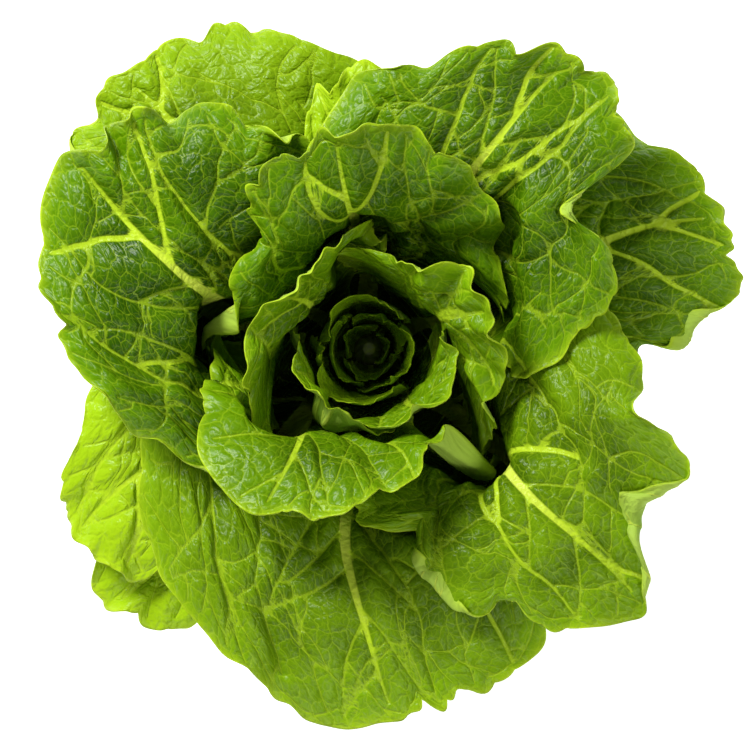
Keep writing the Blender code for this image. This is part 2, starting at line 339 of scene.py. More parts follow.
def rolling(seed, x, y=0.0):
    """Smooth noise from -1 to 1: the scatter of the four whole points round (x, y), eased between."""
    i, j = np.floor(x), np.floor(y)
    a, b = ease(x - i), ease(y - j)
    low = scatter(seed, i, j) * (1 - a) + scatter(seed, i + 1, j) * a
    high = scatter(seed, i, j + 1) * (1 - a) + scatter(seed, i + 1, j + 1) * a
    return 2 * (low * (1 - b) + high * b) - 1


def layered(seed, x, y, layers=3):
    """Rolling noise with finer layers on it, each half as high and twice as fine."""
    total = sum(rolling(seed + 11 * n, x * 2**n, y * 2**n) / 2**n for n in range(layers))
    return total / (2 - 0.5 ** (layers - 1))


def seed_of(leaf):
    """A number of the leaf's own, from its azimuth and level."""
    return float(round(leaf.azimuth * 3 + leaf.level * 100) % 97)


def flat_outline(leaf, up, across):
    """(offset, run, edge) in mm of the flat leaf: narrow at the base, widest high up, round on top.

    The half-width eases from the base's to the full one; the top falls away to the sides with the power 2.4
    of across. edge is the distance to the margin: the smaller of those to the side and to the top.
    """
    base_half = 1.05 * base_point(leaf.level)[0]
    half = (leaf.left + leaf.right) / 2
    widening = ease((up - 0.1) / 0.7)
    width = (base_half + (half - base_half) * widening) * (1 - 0.12 * ease((up - 0.75) / 0.5))
    skew = (leaf.left - leaf.right) / 2 * widening
    offset = width * across + skew * across**2
    run = leaf.length * up * (1 - leaf.crown * np.abs(across) ** 2.4 * up)
    side = (1 - np.abs(across)) * (width + skew * np.sign(across))
    top = (1 - up) * leaf.length
    edge = side * top / np.sqrt(side**2 + top**2 + 1e-6)
    return offset, run, edge


def share_of_full(leaf):
    """1 for a full-grown leaf, and less in proportion for a shorter one."""
    return min(1.0, leaf.length / FULL_LENGTH)


def turn_round(leaf, offset, run):
    """Degrees round the margin, 0 at the tip and growing to the left, seen from the blade's middle."""
    return np.degrees(np.arctan2(offset, run - MARGIN_CENTRE * leaf.length))


def bump_at(turn, centre, width):
    """A smooth hump of 1 at centre that dies out within the width."""
    away = (turn - centre + 180) % 360 - 180
    return np.exp(-((away / width) ** 2))


def shaped(leaf, up, across, sizes):
    """(offset, run, edge, turn, lift) with the margin's lobes, notches and folds.

    lift is in mm towards the axis. Every point moves along its ray from the blade's middle: lobes are powers
    of a sine's size, round outside and sharp between, a notch is a hump taken away, and they die out inwards.
    A folded strip is wrapped round a small cylinder: beyond the fold line a point goes the cylinder's arc,
    then back over the leaf.
    """
    offset, run, edge = flat_outline(leaf, up, across)
    turn = turn_round(leaf, offset, run)
    seed = seed_of(leaf)
    size = share_of_full(leaf)
    blade = ease((up - 0.28) / 0.3)
    wobble = 16 * rolling(seed, turn / 24)
    broad = np.abs(np.sin(np.radians(6.5 * turn + 5 * wobble + 50 * seed))) ** 0.7 - 0.6
    small = np.abs(np.sin(np.radians(17 * turn + 14 * wobble + 90 * seed))) ** 0.6 - 0.6
    swell = 0.55 + 0.55 * rolling(seed + 3, turn / 13)
    tooth = sizes.tooth / MM
    lobes = sizes.lobe / MM * broad * np.exp(-edge / 30) + 2 * tooth * small * swell * np.exp(-edge / 9)
    lobes = lobes + 0.35 * tooth * np.sin(np.radians(43 * turn + 30 * wobble)) * np.exp(-edge / 5)
    outward = lobes * size * blade
    for centre, width, depth in leaf.notches:
        outward = outward - depth * leaf.length * bump_at(turn, centre, width) * np.exp(-edge / 22) * blade
    lift = 0 * outward
    radius = sizes.fold / MM
    for centre, width, strip in leaf.folds:
        beyond = np.maximum(strip * bump_at(turn, centre, width) * blade - edge, 0)
        angle = np.minimum(beyond / radius, math.pi)
        along = radius * np.sin(angle) - np.maximum(beyond - math.pi * radius, 0)
        outward = outward + along - beyond
        lift = lift + radius * (1 - np.cos(angle))
    ray = np.radians(turn)
    return offset + outward * np.sin(ray), run + outward * np.cos(ray), edge, turn, lift


class VeinMap:
    """A leaf's veins, grown and drawn on a flat map of cells a millimetre wide.

    past holds the distance past the side of the nearest vein, signed the distance to its middle, positive on
    its left, half its half-width, and main the distance past the nearest of the midrib and side veins.
    """

    SIDE, BELOW, FAR = 160, 12, 22.0  # reach to each side and below the base; distance where no vein is near
    STEP = 3.5  # the length of a growing step, mm
    MEETING = 0.8  # a vein nearer to another than this has met it, mm
    THINNEST = 0.17  # the least half-width of a vein, mm
    DEEPEST = 4  # the rank that doesn't fork: the midrib is 0, the side veins 1

    def __init__(self, leaf, sizes):
        self.leaf = leaf
        self.size = share_of_full(leaf)
        self.wide = self.size * max(1.0, (leaf.left + leaf.right) / 140)
        shape = (int(leaf.length) + 2 * self.BELOW + 8, 2 * self.SIDE + 1)
        self.past, self.signed, self.main = (np.full(shape, self.FAR) for _ in range(3))
        self.half = np.zeros(shape)
        edge_up = np.linspace(0, 1, 200)
        self.edge_left, self.edge_left_run, _ = flat_outline(leaf, edge_up, np.ones(200))
        self.edge_right, self.edge_right_run, _ = flat_outline(leaf, edge_up, -np.ones(200))
        self.grow(sizes)

    def inside(self, x, y):
        """True where the flat leaf is, a little within its margin."""
        left = np.interp(y, self.edge_left_run, self.edge_left)
        right = np.interp(y, self.edge_right_run, self.edge_right)
        across = x / left if x > 0 else x / right
        top = self.leaf.length * (1 - self.leaf.crown * min(abs(across), 1.2) ** 2.4)
        return abs(across) < 0.965 and y < top - 3

    def draw(self, points, halves, rank):
        """Draws a polyline: each segment's distance field, wherever it is nearer than what is there."""
        for (x0, y0), (x1, y1), h0, h1 in zip(points[:-1], points[1:], halves[:-1], halves[1:]):
            reach = int(self.FAR)
            c0 = max(int(min(x0, x1)) + self.SIDE - reach, 0)
            c1 = min(int(max(x0, x1)) + self.SIDE + reach + 2, self.past.shape[1])
            r0 = max(int(min(y0, y1)) + self.BELOW - reach, 0)
            r1 = min(int(max(y0, y1)) + self.BELOW + reach + 2, self.past.shape[0])
            if c1 <= c0 or r1 <= r0:
                continue
            x = np.arange(c0, c1)[None, :] - self.SIDE - x0
            y = np.arange(r0, r1)[:, None] - self.BELOW - y0
            dx, dy = x1 - x0, y1 - y0
            span = math.hypot(dx, dy) + 1e-9
            along = np.clip((x * dx + y * dy) / span**2, 0, 1)
            away = np.hypot(x - along * dx, y - along * dy)
            half = h0 + (h1 - h0) * along
            past = away - half
            window = (slice(r0, r1), slice(c0, c1))
            nearer = past < self.past[window]
            side = np.where(dx * y - dy * x > 0, 1.0, -1.0)
            self.past[window] = np.where(nearer, past, self.past[window])
            self.signed[window] = np.where(nearer, side * away, self.signed[window])
            self.half[window] = np.where(nearer, half, self.half[window])
            if rank < 2:
                self.main[window] = np.minimum(self.main[window], past)

    def branch(self, start, heading, half, reach, rank, rng):
        """The points, half-widths and forks of one vein grown in steps.

        It bends towards the tip, wavers, forks now and then, and ends where it leaves the leaf, meets another
        vein or has gone its reach.
        """
        step = self.STEP * self.size
        points, halves, forks = [start], [half], []
        x, y = start
        gone, next_fork = 0.0, rng.uniform(14, 26) * self.size
        turn_side = 1 if heading > 0 else -1
        flip = rng.choice([-1, 1])
        bend = rng.uniform(0.12, 0.42) if rank == 1 else rng.uniform(-0.3, 0.5)
        while gone < reach:
            heading -= turn_side * bend * step * (0.5 if gone < 10 else 1.0) + rng.normal(0, 3.2 + 2.2 * rank)
            x += step * math.sin(math.radians(heading))
            y += step * math.cos(math.radians(heading))
            gone += step
            if not self.inside(x, y):
                break
            points.append((x, y))
            halves.append(max(half * (1 - 0.85 * min(gone / reach, 1)) ** 1.3, self.THINNEST))
            near = self.past[int(round(y)) + self.BELOW, int(round(x)) + self.SIDE]
            if gone > 3 * step and near < self.MEETING:
                break
            if gone > next_fork and rank < self.DEEPEST:
                next_fork = gone + rng.uniform(11, 23) * self.size
                flip = -flip
                swing = flip * rng.uniform(34, 58)
                forks.append(((x, y), heading + swing, halves[-1] * rng.uniform(0.5, 0.75),
                              rng.uniform(18, 46) * self.wide * (1.4 if rank == 1 else 1.0), rank + 1))
        return points, halves, forks

    def grow(self, sizes):
        """The midrib, then the side veins from the thickest to the thinnest, then the forks in turn."""
        leaf, size, wide = self.leaf, self.size, self.wide
        rng = np.random.default_rng(int(seed_of(leaf)) + 5)
        run = np.arange(-6, leaf.length * 0.97, 4.0)
        up = np.clip(run / leaf.length, 0, 1)
        wander = 2.6 * np.sin(run / 33 + leaf.azimuth) + 1.1 * np.sin(run / 13 + 2 * leaf.azimuth)
        wander = wander * ease(run / 90) * size
        half = (5.2 * (1 - up) ** 1.15 + 0.3) * size
        self.draw(list(zip(wander, run)), list(half), 0)
        pending = []
        for side in (-1, 1):
            start = leaf.length * (0.16 + 0.05 * rng.random())
            while start < leaf.length * 0.9:
                share_up = start / leaf.length
                strong = rng.random() < (0.5 if share_up < 0.6 else 0.25)
                angle = side * (54 - 20 * share_up + rng.uniform(-7, 7))
                thick = (1.35 if strong else 0.6) * (1.2 - 0.65 * share_up) * size
                x = float(np.interp(start, run, wander))
                pending.append(((x, start), angle, thick, (150 if strong else 95) * wide, 1))
                start += sizes.vein_gap / MM * size * rng.uniform(0.65, 1.35)
        pending.sort(key=lambda vein: -vein[2])
        while pending:
            waiting = []
            for vein in pending:
                points, halves, forks = self.branch(*vein, rng)
                if len(points) > 2:
                    self.draw(points, halves, vein[4])
                waiting.extend(forks)
            pending = waiting

    def read(self, grid, offset, run):
        """One of the map's grids at these flat places."""
        return sample(grid, run + self.BELOW, offset + self.SIDE)


def dome(past, reach):
    """0 at a vein's side and rising towards 1 away from it: 1 less an exponential."""
    return 1 - np.exp(-np.maximum(past, 0) / reach)


def relief(leaf, offset, run, edge, turn, up, sizes):
    """Height in mm towards the axis: blisters between the veins, broad rumples, and the margin's ruffles.

    A blister is a dome of the distance past all veins, and a quilt one of the distance past the main veins.
    A ruffle is a sine of the turn whose height and phase drift, dying out from the margin inwards.
    """
    seed = seed_of(leaf)
    size = share_of_full(leaf)
    blade = ease((up - 0.2) / 0.3)
    veins = vein_map(leaf, sizes)
    past = veins.read(veins.past, offset, run)
    main = veins.read(veins.main, offset, run)
    patch = 0.75 + 0.6 * layered(seed + 20, offset / 24, run / 24)
    blister = sizes.blister / MM * size * dome(past, 2.6) * patch
    quilt = sizes.quilt / MM * size * dome(main, 8.0)
    pleat = 0.8 * size * layered(seed + 25, offset / 13, run / 16, 2)
    rumple = sizes.rumple / MM * size * layered(seed + 30, offset / 38, run / 45, 2)
    inward = 0.35 + 0.65 * ease(edge / 12)
    height = (blister + quilt + pleat) * inward * blade + rumple * ease((up - 0.3) / 0.3)
    drift = 50 * rolling(seed + 40, turn / 27)
    swell = 0.5 + 0.6 * rolling(seed + 41, turn / 15)
    frill = sizes.frill / MM
    ruffle = 1.7 * np.sin(np.radians(12 * turn + 3 * drift + 60 * seed)) * np.exp(-edge / 14)
    ruffle = ruffle + np.sin(np.radians(27 * turn + 6 * drift)) * np.exp(-edge / 7)
    ruffle = ruffle + 0.4 * np.sin(np.radians(55 * turn + 9 * drift)) * np.exp(-edge / 4)
    return height + ruffle * frill * size * swell * ease((up - 0.3) / 0.25)


VEIN_MAPS = {}


def vein_map(leaf, sizes):
    """The leaf's vein map, grown once."""
    if leaf.name not in VEIN_MAPS:
        VEIN_MAPS[leaf.name] = VeinMap(leaf, sizes)
    return VEIN_MAPS[leaf.name]


def placed(leaf, up, across, sizes):
    """Everything about a leaf's points before it is laid: its place on the chart and its flat place."""
    offset, run, edge, turn, lift = shaped(leaf, up, across, sizes)
    flat_offset, flat_run, _ = flat_outline(leaf, up, across)
    height = lift + relief(leaf, flat_offset, flat_run, edge, turn, up, sizes)
    radius = CHART.read(CHART.radius, leaf.level, run)
    azimuth = leaf.azimuth + leaf.veer * (run / leaf.length) ** 2 + np.degrees(offset / radius)
    out = (leaf.cup * across**2 + leaf.tilt * across) * ease(up / 0.6) + leaf.droop * up**4
    out = out + leaf.roll * ease(1 - edge / 30) * ease((up - 0.3) / 0.4)
    wave_nearness = (1 - (1 - np.abs(across) ** 5) * (1 - up**9)) * ease((up - 0.3) / 0.35)
    out = out + leaf.wave * wave_nearness * np.sin(np.radians(leaf.waves * turn + leaf.phase))
    level = leaf.level + (out - height) / CHART.read(CHART.spacing, leaf.level, run)
    return {"level": level, "run": run, "azimuth": azimuth, "edge": edge, "up": up,
            "offset": flat_offset, "flat_run": flat_run}


def thickness(leaf, place, sizes):
    """Thickness in mm: the blade thins to the rim, and each vein is a round rib on the underside."""
    size = min(1.0, leaf.length / FULL_RIB_LENGTH)
    veins = vein_map(leaf, sizes)
    past = veins.read(veins.past, place["offset"], place["flat_run"])
    half = veins.read(veins.half, place["offset"], place["flat_run"])
    up = place["up"]
    stout = sizes.rib / MM * size * ease(up / 0.08) * (1 - ease((up - 0.1) / 0.8)) + 0.5
    across_rib = np.maximum(past + half, 0) / (1.2 * half + 0.8)
    hump = stout * np.sqrt(np.clip(half / 4.0, 0, 1)) * np.exp(-(across_rib**2))
    blade = sizes.rim + (sizes.blade - sizes.rim) * ease(place["edge"] / 14)
    return blade / MM + hump * ease(place["edge"] / 5)


# -------- laying the leaves


def soften(grid, times):
    """The grid with each point averaged with its neighbours, this many times."""
    for _ in range(times):
        edge = np.pad(grid, 1, mode="edge")
        grid = (edge[:-2, 1:-1] + edge[2:, 1:-1] + edge[1:-1, :-2] + edge[1:-1, 2:] + 2 * grid) / 6
    return grid


def widen(grid, cells, around):
    """The highest value within this many cells, going round in azimuth or stopping at the sides."""
    for _ in range(cells):
        sides = np.pad(grid, ((0, 0), (1, 1)), mode="wrap" if around else "edge")
        grid = np.maximum(grid, np.maximum(sides[:, :-2], sides[:, 2:]))
        ends = np.pad(grid, ((1, 1), (0, 0)), mode="edge")
        grid = np.maximum(grid, np.maximum(ends[:-2], ends[2:]))
    return grid


def risen(rise, up, across):
    """A leaf's rise, from its lattice, at these places up and across."""
    return sample(rise, up * (LATTICE - 1), (across + 1) / 2 * (LATTICE - 1))


class Nest:
    """The leaves laid so far, as the level up to which every cell of (run, azimuth) is taken."""

    def __init__(self):
        self.taken = np.full((CELLS_RUN, CELLS_TURN), LEVEL_LOW)

    def cells(self, place):
        """The (row, column) of a leaf's points."""
        return place["run"] / RUN_END * (CELLS_RUN - 1), (place["azimuth"] % 360) / 360 * CELLS_TURN

    def lay(self, leaf, sizes):
        """The rise in level, on its lattice, that lays a leaf on those inside it. Fills its cells."""
        place = placed(leaf, *lattice(LATTICE, LATTICE), sizes)
        row, column = self.cells(place)
        taken = widen(self.taken, 2, True)
        rise = sample(np.concatenate([taken, taken[:, :1]], 1), row, column) - place["level"]
        rise = soften(widen(np.maximum(rise, 0), PUSH_SPREAD, False), PUSH_SOFTENING)
        up, across = lattice(4 * LATTICE, 4 * LATTICE)
        fine = placed(leaf, up, across, sizes)
        level = fine["level"] + risen(rise, up, across)
        depth = thickness(leaf, fine, sizes) + LEAF_GAP
        filled = level + depth / CHART.read(CHART.spacing, level, fine["run"])
        row, column = self.cells(fine)
        nearest = (np.rint(row).astype(int), np.rint(column).astype(int) % CELLS_TURN)
        np.maximum.at(self.taken, nearest, filled)
        return rise


NEST = Nest()


# -------- meshes


def grid_faces(rows, columns, start):
    """Corners of a grid's faces, in the order that turns them towards the axis."""
    corner = start + np.arange((rows - 1) * columns).reshape(rows - 1, columns)[:, :-1].ravel()
    return np.stack([corner, corner + columns, corner + columns + 1, corner + 1], 1)


def rim_loop(rows, columns):
    """The grid points round a grid's border, once round."""
    index = np.arange(rows * columns).reshape(rows, columns)
    return np.concatenate([index[0, :-1], index[:-1, -1], index[-1, :0:-1], index[:0:-1, 0]])


def added(name, data):
    """A new object of the scene that holds this data."""
    made = bpy.data.objects.new(name, data)
    bpy.context.scene.collection.objects.link(made)
    return made


def make_mesh(name, points, faces, attributes):
    """A smooth mesh object at the origin with named vector attributes on its points."""
    mesh = bpy.data.meshes.new(name)
    mesh.vertices.add(len(points))
    mesh.vertices.foreach_set("co", points.astype(np.float32).ravel())
    mesh.loops.add(faces.size)
    mesh.loops.foreach_set("vertex_index", faces.astype(np.int32).ravel())
    mesh.polygons.add(len(faces))
    mesh.polygons.foreach_set("loop_start", np.arange(0, faces.size, 4, dtype=np.int32))
    mesh.update(calc_edges=True)
    for key, values in attributes.items():
        layer = mesh.attributes.new(key, "FLOAT_VECTOR", "POINT")
        layer.data.foreach_set("vector", values.astype(np.float32).ravel())
    mesh.shade_smooth()
    return added(name, mesh)


def leaf_points(leaf, rise, up, across, sizes):
    """(points, place): points in metres on the inner face of the laid leaf, turned about the axis."""
    place = placed(leaf, up, across, sizes)
    level = place["level"] + risen(rise, up, across)
    radius = CHART.read(CHART.radius, level, place["run"])
    height = CHART.read(CHART.height, level, place["run"])
    turn = np.radians(place["azimuth"])
    return np.stack([radius * np.cos(turn), radius * np.sin(turn), height], -1) * MM, place


def build_leaf(leaf, sizes, finish):
    """A leaf as a closed shell: its inner face, and an outer face its thickness away along the normals."""
    rise = NEST.lay(leaf, sizes)
    rows, columns = leaf.grid
    up, across = lattice(rows, columns)
    inner, place = leaf_points(leaf, rise, up, across, sizes)
    normal = np.cross(np.gradient(inner, axis=0), np.gradient(inner, axis=1))
    normal = normal / np.maximum(np.linalg.norm(normal, axis=-1, keepdims=True), 1e-12)
    outer = inner - normal * (thickness(leaf, place, sizes) * MM)[..., None]
    rim = rim_loop(rows, columns)
    after = np.roll(rim, -1)
    count = rows * columns
    faces = np.concatenate([
        grid_faces(rows, columns, 0),
        grid_faces(rows, columns, count)[:, ::-1],
        np.stack([rim, after, after + count, rim + count], 1),
    ])
    veins = vein_map(leaf, sizes)
    past, signed, half = (veins.read(grid, place["offset"], place["flat_run"])
                          for grid in (veins.past, veins.signed, veins.half))
    flow = np.stack([signed, past, half], -1)
    spread = np.stack([place["offset"] + NOISE_APART * leaf.level, place["flat_run"], place["edge"]], -1)
    kind = [np.stack([0 * past + side, place["up"], 0 * past + leaf.pale], -1) for side in (0, 1)]
    both_faces = {"flow": (flow, flow), "spread": (spread, spread), "kind": kind}
    attributes = {key: np.concatenate(faces_of).reshape(-1, 3) for key, faces_of in both_faces.items()}
    points = np.concatenate([inner.reshape(-1, 3), outer.reshape(-1, 3)])
    made = make_mesh(f"{leaf.name}_blade", points, faces, attributes)
    made.data.materials.append(finish)
    low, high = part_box(leaf.name)
    centre = (np.array(low) + np.array(high)) / 2
    if np.linalg.norm(points.mean(0) - centre) > MOST_STRAY:
        raise RuntimeError(f"{leaf.name} has left its solid")
    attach(made, "root")
    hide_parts(leaf.name)


def build_stem(finish):
    """The stem: a profile turned round the axis, narrowing up the core, with a low wave twisting round it."""
    steps, around = 90, 128
    along = np.linspace(0, 1, steps)
    height = CORE_HEIGHT * along
    radius = BUTT_RADIUS + (CORE_TIP_RADIUS - BUTT_RADIUS) * along - 0.35
    bevel = np.sqrt(np.clip(1 - (1 - np.clip(height / 2.0, 0, 1)) ** 2, 0, 1))
    turn = np.linspace(0, 2 * np.pi, around, endpoint=False)
    scar = 0.3 * np.sin(9 * turn[None, :] + height[:, None] * 0.35) * ease(height[:, None] / 8)
    side = (radius - 2 * (1 - bevel))[:, None] + scar * ease((1 - along[:, None]) / 0.1)
    rings = 14
    inward = np.linspace(0, 1, rings + 1)[1:-1]
    dish = side[0][None, :] * (1 - inward[:, None])
    cap = side[-1][None, :] * (1 - inward[:, None])
    radii = np.concatenate([dish[::-1], side, cap])
    heights = np.concatenate([0 * inward, height, CORE_HEIGHT + 0.8 * np.sin(inward * np.pi / 2)])
    heights = heights[:, None] + 0 * radii
    points = np.stack([radii * np.cos(turn), radii * np.sin(turn), heights], -1).reshape(-1, 3) * MM
    rows = len(radii)
    ring = np.arange(rows * around).reshape(rows, around)
    after = np.roll(ring, -1, 1)
    faces = np.stack([ring[:-1], after[:-1], after[1:], ring[1:]], -1).reshape(-1, 4)
    mesh = bpy.data.meshes.new("stem_turned")
    ends = [tuple(ring[0][::-1]), tuple(ring[-1])]
    mesh.from_pydata(points.tolist(), [], [tuple(face) for face in faces.tolist()] + ends)
    mesh.shade_smooth()
    made = added("stem_turned", mesh)
    made.data.materials.append(finish)
    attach(made, "root")
    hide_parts("stem_core")


# -------- finishes


class Web:
    """Adds nodes to a node tree, each linked to what it reads as it is made."""

    def __init__(self, tree):
        self.tree = tree

    def node(self, kind, *values, **settings):
        """A node with these settings, whose first sockets take these values or links."""
        made = self.tree.nodes.new(kind)
        for key, value in settings.items():
            setattr(made, key, value)
        for socket, value in zip(made.inputs, values):
            self.put(socket, value)
        return made

    def put(self, socket, value):
        """Links a socket to an output, or sets its value."""
        if isinstance(value, bpy.types.NodeSocket):
            self.tree.links.new(value, socket)
        elif value is not None:
            socket.default_value = value

    def math(self, operation, *values):
        """The result of a Math node."""
        return self.node("ShaderNodeMath", *values, operation=operation).outputs[0]

    def times(self, first, second):
        """The product of two numbers."""
        return self.math("MULTIPLY", first, second)

    def plus(self, first, second):
        """The sum of two numbers."""
        return self.math("ADD", first, second)

    def scaled(self, vector, factor):
        """A vector times a number."""
        made = self.node("ShaderNodeVectorMath", vector, operation="SCALE")
        self.put(made.inputs["Scale"], factor)
        return made.outputs[0]

    def smooth(self, value, low, high, start=0.0, end=1.0):
        """A smooth step from start to end as the value goes from low to high."""
        made = self.node("ShaderNodeMapRange", value, low, high, start, end, interpolation_type="SMOOTHSTEP")
        return made.outputs[0]

    def attribute(self, name):
        """A vector attribute of the mesh."""
        return self.node("ShaderNodeAttribute", attribute_name=name).outputs["Vector"]

    def parts(self, vector):
        """A vector's x, y and z."""
        made = self.node("ShaderNodeSeparateXYZ", vector)
        return tuple(made.outputs)

    def noise(self, vector, scale, detail=2.0, output="Fac"):
        """Cloudy noise from 0 to 1, as a number or as a colour."""
        made = self.node("ShaderNodeTexNoise")
        self.put(made.inputs["Vector"], vector)
        self.put(made.inputs["Scale"], scale)
        self.put(made.inputs["Detail"], detail)
        return made.outputs[output]

    def cells(self, vector, scale):
        """The distance to the nearest cell wall of a flat cell pattern."""
        made = self.node("ShaderNodeTexVoronoi", voronoi_dimensions="2D", feature="DISTANCE_TO_EDGE")
        self.put(made.inputs["Vector"], vector)
        self.put(made.inputs["Scale"], scale)
        return made.outputs["Distance"]

    def bump(self, height, distance, strength=1.0):
        """The normals of a surface that this height raises."""
        made = self.node("ShaderNodeBump")
        self.put(made.inputs["Height"], height)
        self.put(made.inputs["Distance"], distance)
        self.put(made.inputs["Strength"], strength)
        return made.outputs[0]

    def blend(self, factor, first, second):
        """The first colour turning into the second as the factor goes from 0 to 1."""
        made = self.node("ShaderNodeMix", data_type="RGBA", clamp_factor=True)
        self.put(made.inputs[0], factor)
        for index, value in ((6, first), (7, second)):
            self.put(made.inputs[index], value if isinstance(value, bpy.types.NodeSocket) else (*value, 1.0))
        return made.outputs[2]


def principled(name):
    """(material, shader): a new material and its Principled shader."""
    made = bpy.data.materials.new(name)
    made.use_nodes = True
    return made, made.node_tree.nodes["Principled BSDF"]


def vein_group():
    """The node group of a leaf's veins: masks from the leaf's fields, among them painted shade low on the
    leaf and a margin partly painted as lit and glowing, and the height of its fine relief.

    A vein's mask falls from 1 to 0 as the distance to its middle passes its half-width; the distance past the
    nearest vein rules out places where the signed distance only changes from one vein to another.
    """
    tree = bpy.data.node_groups.new("leaf_veins", "ShaderNodeTree")
    for name, default in (("Softness", 0.5), ("Net Size", 2.4)):
        socket = tree.interface.new_socket(name, in_out="INPUT", socket_type="NodeSocketFloat")
        socket.default_value = default
    web = Web(tree)
    given = web.node("NodeGroupInput")
    signed, past, half = web.parts(web.attribute("flow"))
    offset, run, edge = web.parts(web.attribute("spread"))
    under, up, pale = web.parts(web.attribute("kind"))
    flat = web.node("ShaderNodeCombineXYZ", offset, run).outputs[0]
    near = web.math("SUBTRACT", web.math("ABSOLUTE", signed), half)
    near = web.math("MAXIMUM", near, web.math("SUBTRACT", past, 0.5))
    soft = given.outputs["Softness"]
    vein = web.smooth(near, web.times(soft, -0.3), soft, 1.0, 0.0)
    strong = web.smooth(half, 0.25, 1.1, 0.35, 1.0)
    aside = web.scaled(web.noise(flat, 0.25, output="Color"), 3.4)
    bent = web.node("ShaderNodeVectorMath", flat, aside, operation="ADD").outputs[0]
    scale = web.math("DIVIDE", 1.0, given.outputs["Net Size"])
    fine = web.cells(bent, scale)
    coarse = web.cells(bent, web.times(scale, 0.4))
    fine_line = web.smooth(fine, 0.02, 0.12, 1.0, 0.0)
    coarse_line = web.smooth(coarse, 0.0, 0.06, 1.0, 0.0)
    net = web.math("MAXIMUM", web.times(fine_line, 0.4), coarse_line)
    domes = web.plus(web.times(web.smooth(coarse, 0.0, 0.3), 1.6),
                     web.times(web.smooth(fine, 0.0, 0.4), 0.6))
    patch = web.noise(flat, 0.045, 3.0)
    grain = web.noise(flat, 1.2, 3.0)
    bulge = web.math("SUBTRACT", domes, web.times(vein, 2.0))
    facing = web.math("SUBTRACT", 1.0, web.times(under, 2.0))
    height = web.plus(web.times(bulge, facing), web.times(grain, 0.3))
    rim = web.plus(web.smooth(edge, 0.3, 1.3, 0.6, 0.0), web.smooth(edge, 0.5, 6.0, 0.4, 0.0))
    values = {
        "Vein": vein,
        "Strong": strong,
        "Thick": web.smooth(half, 0.8, 2.0),
        "Net": net,
        # Margin: the rim's own pale yellow-green, partly a painted glow of light through the thin edge,
        # brighter in random patches.
        "Margin": web.times(rim, web.smooth(patch, 0.3, 0.65, 0.45, 1.0)),
        # Edge Zone: lighter towards the margin, partly the leaf's own paler edge and partly painted light on
        # the rolled margins.
        "Edge Zone": web.smooth(web.plus(edge, web.times(patch, 14.0)), 6.0, 34.0, 1.0, 0.0),
        "Under": under,
        "Pale": pale,
        "Patch": web.smooth(patch, 0.3, 0.7),
        # Painted shade: 1 low on the leaf, deep in the head, falling to 0 higher up.
        "Centre": web.smooth(up, 0.35, 0.8, 1.0, 0.0),
        "Height": height,
    }
    for name in values:
        tree.interface.new_socket(name, in_out="OUTPUT", socket_type="NodeSocketFloat")
    result = web.node("NodeGroupOutput")
    for name, value in values.items():
        web.put(result.inputs[name], value)
    return tree


FINISHES = {"open_leaf": (0.5, 2.4, 0.0), "young_leaf": (0.4, 1.8, 0.3)}


def leaf_finish(name, scene):
    """A leaf's material, made once: greens by place, with painted shade towards the base and partly painted
    light near the margin, pale veins, a pale margin partly painted as glowing, and a paler underside.

    FINISHES has its veins' softness, the size of their net in mm, and the least paleness of its blade.
    """
    if name in bpy.data.materials:
        return bpy.data.materials[name]
    softness, net_size, lighter = FINISHES[name]
    colours = scene.lettuce_colours
    group = bpy.data.node_groups.get("leaf_veins") or vein_group()
    made, shader = principled(name)
    web = Web(made.node_tree)
    fields = web.node("ShaderNodeGroup", node_tree=group)
    web.put(fields.inputs["Softness"], softness)
    web.put(fields.inputs["Net Size"], net_size)
    out = fields.outputs
    patches = web.times(out["Patch"], 0.55)
    # Lighter near the margin: partly the leaf's own paler edge, partly painted light.
    light = web.plus(patches, web.times(out["Edge Zone"], 0.65))
    # Painted shade: the blade darkens towards its base, deep in the head.
    light = web.math("SUBTRACT", light, web.times(out["Centre"], 0.5))
    green = web.blend(web.math("MAXIMUM", light, 0.0), colours.deep, colours.fresh)
    palest = web.math("MAXIMUM", out["Pale"], lighter)
    # The paleness follows this lightness, painted light and shade included.
    paler = web.times(palest, web.smooth(light, -0.4, 0.7, 0.25, 1.15))
    green = web.blend(paler, green, colours.pale)
    green = web.blend(web.times(out["Net"], 0.26), green, colours.vein)
    vein = web.blend(out["Thick"], colours.vein, colours.rib)
    green = web.blend(web.times(out["Vein"], out["Strong"]), green, vein)
    back = web.blend(web.times(out["Vein"], 0.7), colours.under, colours.rib)
    back = web.blend(web.smooth(out["Edge Zone"], 0.0, 0.6, 0.75, 0.0), back, colours.fresh)
    green = web.blend(web.times(out["Under"], 0.85), green, back)
    # The rim: partly its own pale yellow-green, partly a painted glow of light through the thin edge.
    green = web.blend(web.times(out["Margin"], 0.85), green, colours.margin)
    web.put(shader.inputs["Base Color"], green)
    web.put(shader.inputs["Roughness"], web.smooth(out["Under"], 0.0, 1.0, 0.30, 0.55))
    shader.inputs["Specular IOR Level"].default_value = 0.13
    web.put(shader.inputs["Normal"], web.bump(out["Height"], 0.00035, 0.6))
    return made


